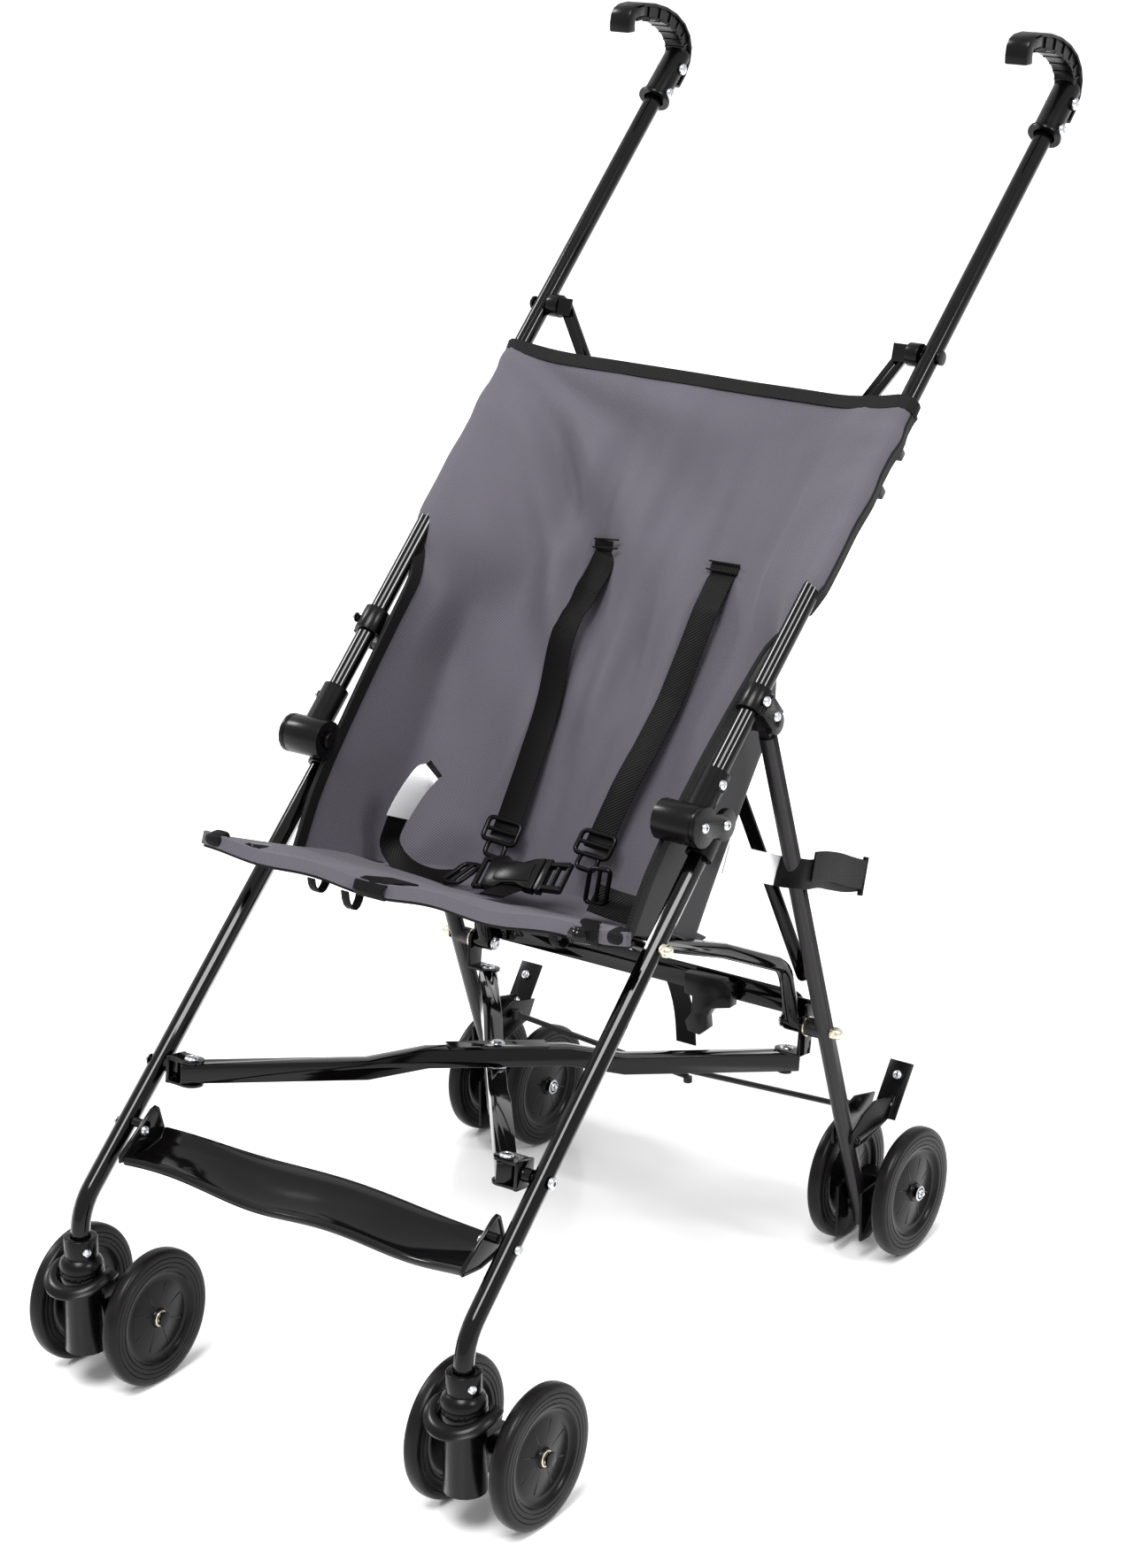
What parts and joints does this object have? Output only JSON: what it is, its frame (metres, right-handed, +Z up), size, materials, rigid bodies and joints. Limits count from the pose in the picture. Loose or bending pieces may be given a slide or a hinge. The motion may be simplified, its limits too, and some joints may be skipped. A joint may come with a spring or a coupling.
{
  "type": "buggy",
  "caption": "Umbrella-fold pushchair with twin-wheel castors, black tube frame, hooked handles and a grey sling seat with harness.",
  "frame": {"origin": "on the floor, under the middle of the footprint of the standing, unfolded buggy", "axes": "+X to the side that is right in the picture, -Y to the front, +Z up"},
  "size_m": [0.4872, 0.8988, 1.034],
  "materials": {
    "gloss_black_steel": "gloss black powder coat",
    "satin_charcoal_steel": "satin charcoal powder coat",
    "black_plastic": "moulded, lightly grained",
    "foam_tyre": "foam tread on a moulded hub",
    "zinc_steel": "zinc plated",
    "grey_twill": "woven twill",
    "black_webbing": "woven webbing"
  },
  "bodies": {
    "frame_centre": {"centre_rivet": "zinc_steel"},
    "cross_a": {"cross_tube_a": "gloss_black_steel", "saddle": "gloss_black_steel"},
    "cross_b": {"cross_tube_b": "gloss_black_steel"},
    "front_bracket_left": {"front_bracket_left": "gloss_black_steel"},
    "rear_bracket_left": {"rear_bracket_left": "gloss_black_steel"},
    "front_leg_left": {"front_leg_left": "gloss_black_steel", "knuckle_lower_left": "black_plastic", "castor_collar_left": "black_plastic"},
    "push_side_left": {"push_tube_left": "gloss_black_steel", "handle_left": "black_plastic", "knuckle_upper_left": "black_plastic", "leg_clamp_left": "black_plastic"},
    "rear_leg_left": {"rear_leg_left": "satin_charcoal_steel", "rear_foot_left": "black_plastic"},
    "seat_bar_left": {"seat_bar_left": "gloss_black_steel"},
    "upper_bracket_left": {"upper_bracket_left": "black_plastic"},
    "back_strip_b": {"back_strip_b": "gloss_black_steel"},
    "brake_lever_left": {"brake_lever_left": "black_plastic"},
    "front_bracket_right": {"front_bracket_right": "gloss_black_steel"},
    "rear_bracket_right": {"rear_bracket_right": "gloss_black_steel"},
    "front_leg_right": {"front_leg_right": "gloss_black_steel", "knuckle_lower_right": "black_plastic", "castor_collar_right": "black_plastic"},
    "push_side_right": {"push_tube_right": "gloss_black_steel", "handle_right": "black_plastic", "knuckle_upper_right": "black_plastic", "leg_clamp_right": "black_plastic"},
    "rear_leg_right": {"rear_leg_right": "satin_charcoal_steel", "rear_foot_right": "black_plastic", "closure_strap": "black_webbing"},
    "seat_bar_right": {"seat_bar_right": "gloss_black_steel"},
    "upper_bracket_right": {"upper_bracket_right": "black_plastic"},
    "back_strip_a": {"back_strip_a": "gloss_black_steel"},
    "brake_lever_right": {"brake_lever_right": "black_plastic"},
    "brake_link_right": {"brake_link_right": "satin_charcoal_steel"},
    "brake_link_left": {"brake_link_left": "satin_charcoal_steel"},
    "fold_bar_right": {"fold_bar_right": "gloss_black_steel", "pull_strap": "black_webbing"},
    "fold_bar_left": {"fold_bar_left": "gloss_black_steel"},
    "fold_latch": {"fold_latch": "black_plastic"},
    "castor_left": {"castor_body_left": "black_plastic"},
    "swivel_lock_left": {"swivel_lock_left": "black_plastic"},
    "front_wheel_inner_left": {"front_wheel_inner_left": "foam_tyre"},
    "rear_wheel_inner_left": {"rear_wheel_inner_left": "foam_tyre"},
    "front_wheel_outer_left": {"front_wheel_outer_left": "foam_tyre"},
    "rear_wheel_outer_left": {"rear_wheel_outer_left": "foam_tyre"},
    "castor_right": {"castor_body_right": "black_plastic"},
    "swivel_lock_right": {"swivel_lock_right": "black_plastic"},
    "front_wheel_inner_right": {"front_wheel_inner_right": "foam_tyre"},
    "rear_wheel_inner_right": {"rear_wheel_inner_right": "foam_tyre"},
    "front_wheel_outer_right": {"front_wheel_outer_right": "foam_tyre"},
    "rear_wheel_outer_right": {"rear_wheel_outer_right": "foam_tyre"},
    "seat_sling": {"seat_base": "grey_twill", "footrest": "black_plastic", "lap_belt": "black_webbing", "buckle": "black_plastic"},
    "back_sling": {"seat_back": "grey_twill", "shoulder_strap_left": "black_webbing", "shoulder_strap_right": "black_webbing"}
  },
  "joints": [
    {"name": "fold", "type": "hinge", "parent": "frame_centre", "child": "cross_a", "pos_m": [0, -0.1172, 0.2235], "axis": [0, 0.1304, 0.9915], "range_deg": [0, 26.38], "deforming": ["seat_base", "seat_back", "footrest", "lap_belt", "shoulder_strap_left", "shoulder_strap_right", "buckle"]},
    {"name": "fold_cross_b", "type": "hinge", "parent": "frame_centre", "child": "cross_b", "pos_m": [0, -0.1172, 0.2235], "axis": [0, 0.1304, 0.9915], "range_deg": [-26.43, 0]},
    {"name": "front_bracket_turn_left", "type": "hinge", "parent": "cross_a", "child": "front_bracket_left", "pos_m": [-0.15799, -0.31654, 0.24971], "axis": [0, 0.1304, 0.9915], "range_deg": [-26.43, 0]},
    {"name": "rear_bracket_turn_left", "type": "hinge", "parent": "cross_b", "child": "rear_bracket_left", "pos_m": [-0.15799, 0.08214, 0.19729], "axis": [0, 0.1304, 0.9915], "range_deg": [0, 26.43]},
    {"name": "front_leg_swing_left", "type": "hinge", "parent": "front_bracket_left", "child": "front_leg_left", "pos_m": [-0.1905, -0.3166, 0.2497], "axis": [1, 0, 0], "range_deg": [-49.15, 0]},
    {"name": "knuckle_turn_left", "type": "hinge", "parent": "front_leg_left", "child": "push_side_left", "pos_m": [-0.1905, -0.1221, 0.4767], "axis": [1, 0, 0], "range_deg": [0, 170.05]},
    {"name": "leg_clamp_turn_left", "type": "hinge", "parent": "push_side_left", "child": "rear_leg_left", "pos_m": [-0.1938, -0.0166, 0.533], "axis": [1, 0, 0], "range_deg": [-67.05, 0]},
    {"name": "seat_bar_turn_left", "type": "hinge", "parent": "rear_bracket_left", "child": "seat_bar_left", "pos_m": [-0.162, 0.0866, 0.2315], "axis": [1, 0, 0], "range_deg": [0, 33.85]},
    {"name": "upper_bracket_turn_left", "type": "hinge", "parent": "push_side_left", "child": "upper_bracket_left", "pos_m": [-0.1947, 0.22554, 0.78307], "axis": [1, 0, 0], "range_deg": [-27.39, 0]},
    {"name": "back_strip_b_turn", "type": "hinge", "parent": "upper_bracket_left", "child": "back_strip_b", "pos_m": [-0.17, 0.22554, 0.78307], "axis": [0, 0.9656, -0.2599], "range_deg": [0, 21.14]},
    {"name": "front_bracket_turn_right", "type": "hinge", "parent": "cross_b", "child": "front_bracket_right", "pos_m": [0.15799, -0.31654, 0.24971], "axis": [0, 0.1304, 0.9915], "range_deg": [0, 26.43]},
    {"name": "rear_bracket_turn_right", "type": "hinge", "parent": "cross_a", "child": "rear_bracket_right", "pos_m": [0.15799, 0.08214, 0.19729], "axis": [0, 0.1304, 0.9915], "range_deg": [-26.43, 0]},
    {"name": "front_leg_swing_right", "type": "hinge", "parent": "front_bracket_right", "child": "front_leg_right", "pos_m": [0.1905, -0.3166, 0.2497], "axis": [1, 0, 0], "range_deg": [-49.15, 0]},
    {"name": "knuckle_turn_right", "type": "hinge", "parent": "front_leg_right", "child": "push_side_right", "pos_m": [0.1905, -0.1221, 0.4767], "axis": [1, 0, 0], "range_deg": [0, 170.05]},
    {"name": "leg_clamp_turn_right", "type": "hinge", "parent": "push_side_right", "child": "rear_leg_right", "pos_m": [0.1938, -0.0166, 0.533], "axis": [1, 0, 0], "range_deg": [-67.05, 0]},
    {"name": "seat_bar_turn_right", "type": "hinge", "parent": "rear_bracket_right", "child": "seat_bar_right", "pos_m": [0.162, 0.0866, 0.2315], "axis": [1, 0, 0], "range_deg": [0, 33.85]},
    {"name": "upper_bracket_turn_right", "type": "hinge", "parent": "push_side_right", "child": "upper_bracket_right", "pos_m": [0.1947, 0.22554, 0.78307], "axis": [1, 0, 0], "range_deg": [-27.39, 0]},
    {"name": "back_strip_a_turn", "type": "hinge", "parent": "upper_bracket_right", "child": "back_strip_a", "pos_m": [0.17, 0.22554, 0.78307], "axis": [0, 0.9656, -0.2599], "range_deg": [-21.14, 0]},
    {"name": "brake_right", "type": "hinge", "parent": "rear_leg_right", "child": "brake_lever_right", "pos_m": [0.1938, 0.1254, 0.118], "axis": [1, 0, 0], "range_deg": [-12, 0]},
    {"name": "brake_left", "type": "hinge", "parent": "rear_leg_left", "child": "brake_lever_left", "pos_m": [-0.1938, 0.1254, 0.118], "axis": [1, 0, 0], "range_deg": [-12, 0]},
    {"name": "brake_link_turn_right", "type": "hinge", "parent": "brake_lever_right", "child": "brake_link_right", "pos_m": [0.1778, 0.1519, 0.134], "axis": [0, 0, 1], "range_deg": [-60.2, 0]},
    {"name": "brake_link_turn_left", "type": "hinge", "parent": "brake_lever_left", "child": "brake_link_left", "pos_m": [-0.1778, 0.1519, 0.134], "axis": [0, 0, 1], "range_deg": [0, 60.2]},
    {"name": "fold_bar_turn_right", "type": "hinge", "parent": "rear_bracket_right", "child": "fold_bar_right", "pos_m": [0.153, 0.0994, 0.2425], "axis": [0, 1, 0], "range_deg": [0, 72.08]},
    {"name": "fold_bar_turn_left", "type": "hinge", "parent": "rear_bracket_left", "child": "fold_bar_left", "pos_m": [-0.153, 0.0994, 0.2425], "axis": [0, 1, 0], "range_deg": [-72.08, 0]},
    {"name": "fold_latch_turn", "type": "hinge", "parent": "fold_bar_right", "child": "fold_latch", "pos_m": [0.09, 0.0914, 0.2425], "axis": [0, 1, 0], "range_deg": [0, 8]},
    {"name": "castor_swivel_left", "type": "hinge", "parent": "front_leg_left", "child": "castor_left", "pos_m": [-0.1925, -0.4174, 0.134], "axis": [0, 0, 1], "continuous": true},
    {"name": "swivel_lock_tip_left", "type": "hinge", "parent": "castor_left", "child": "swivel_lock_left", "pos_m": [-0.1925, -0.4154, 0.0975], "axis": [1, 0, 0], "range_deg": [0, 9]},
    {"name": "front_wheel_spin_inner_left", "type": "hinge", "parent": "castor_left", "child": "front_wheel_inner_left", "pos_m": [-0.1526, -0.3777, 0.0575], "axis": [1, 0, 0], "continuous": true},
    {"name": "rear_wheel_spin_inner_left", "type": "hinge", "parent": "rear_leg_left", "child": "rear_wheel_inner_left", "pos_m": [-0.1646, 0.1771, 0.0575], "axis": [1, 0, 0], "continuous": true},
    {"name": "front_wheel_spin_outer_left", "type": "hinge", "parent": "castor_left", "child": "front_wheel_outer_left", "pos_m": [-0.2324, -0.3777, 0.0575], "axis": [1, 0, 0], "continuous": true},
    {"name": "rear_wheel_spin_outer_left", "type": "hinge", "parent": "rear_leg_left", "child": "rear_wheel_outer_left", "pos_m": [-0.229, 0.1771, 0.0575], "axis": [1, 0, 0], "continuous": true},
    {"name": "castor_swivel_right", "type": "hinge", "parent": "front_leg_right", "child": "castor_right", "pos_m": [0.1925, -0.4174, 0.134], "axis": [0, 0, 1], "continuous": true},
    {"name": "swivel_lock_tip_right", "type": "hinge", "parent": "castor_right", "child": "swivel_lock_right", "pos_m": [0.1925, -0.4154, 0.0975], "axis": [1, 0, 0], "range_deg": [0, 9]},
    {"name": "front_wheel_spin_inner_right", "type": "hinge", "parent": "castor_right", "child": "front_wheel_inner_right", "pos_m": [0.1526, -0.3777, 0.0575], "axis": [1, 0, 0], "continuous": true},
    {"name": "rear_wheel_spin_inner_right", "type": "hinge", "parent": "rear_leg_right", "child": "rear_wheel_inner_right", "pos_m": [0.1646, 0.1771, 0.0575], "axis": [1, 0, 0], "continuous": true},
    {"name": "front_wheel_spin_outer_right", "type": "hinge", "parent": "castor_right", "child": "front_wheel_outer_right", "pos_m": [0.2324, -0.3777, 0.0575], "axis": [1, 0, 0], "continuous": true},
    {"name": "rear_wheel_spin_outer_right", "type": "hinge", "parent": "rear_leg_right", "child": "rear_wheel_outer_right", "pos_m": [0.229, 0.1771, 0.0575], "axis": [1, 0, 0], "continuous": true},
    {"name": "seat_sling_turn", "type": "hinge", "parent": "frame_centre", "child": "seat_sling", "pos_m": [0, -0.33399, 0.30637], "axis": [1, 0, 0], "range_deg": [-49.15, 0]},
    {"name": "back_sling_turn", "type": "hinge", "parent": "seat_sling", "child": "back_sling", "pos_m": [0, -0.1221, 0.4767], "axis": [1, 0, 0], "range_deg": [0, 170.05]}
  ],
  "couplings": [
    {"joint": "fold_cross_b", "follows": "fold", "ratio": -1},
    {"joint": "front_bracket_turn_left", "follows": "fold", "ratio": -1},
    {"joint": "rear_bracket_turn_left", "follows": "fold", "ratio": 1},
    {"joint": "front_leg_swing_left", "follows": "fold", "ratio": -1.8613},
    {"joint": "knuckle_turn_left", "follows": "fold", "ratio": 6.4443},
    {"joint": "leg_clamp_turn_left", "follows": "fold", "ratio": -2.5398},
    {"joint": "seat_bar_turn_left", "follows": "fold", "ratio": 1.2813},
    {"joint": "upper_bracket_turn_left", "follows": "fold", "ratio": -1.0363},
    {"joint": "back_strip_b_turn", "follows": "fold", "ratio": 0.79956},
    {"joint": "front_bracket_turn_right", "follows": "fold", "ratio": 1},
    {"joint": "rear_bracket_turn_right", "follows": "fold", "ratio": -1},
    {"joint": "front_leg_swing_right", "follows": "fold", "ratio": -1.8613},
    {"joint": "knuckle_turn_right", "follows": "fold", "ratio": 6.4443},
    {"joint": "leg_clamp_turn_right", "follows": "fold", "ratio": -2.5398},
    {"joint": "seat_bar_turn_right", "follows": "fold", "ratio": 1.2813},
    {"joint": "upper_bracket_turn_right", "follows": "fold", "ratio": -1.0363},
    {"joint": "back_strip_a_turn", "follows": "fold", "ratio": -0.79956},
    {"joint": "brake_left", "follows": "brake_right", "ratio": 1},
    {"joint": "brake_link_turn_right", "follows": "fold", "ratio": -2.2802},
    {"joint": "brake_link_turn_left", "follows": "fold", "ratio": 2.2802},
    {"joint": "fold_bar_turn_right", "follows": "fold", "ratio": 2.7303},
    {"joint": "fold_bar_turn_left", "follows": "fold", "ratio": -2.7303},
    {"joint": "seat_sling_turn", "follows": "fold", "ratio": -1.8613},
    {"joint": "back_sling_turn", "follows": "fold", "ratio": 6.4443}
  ]
}
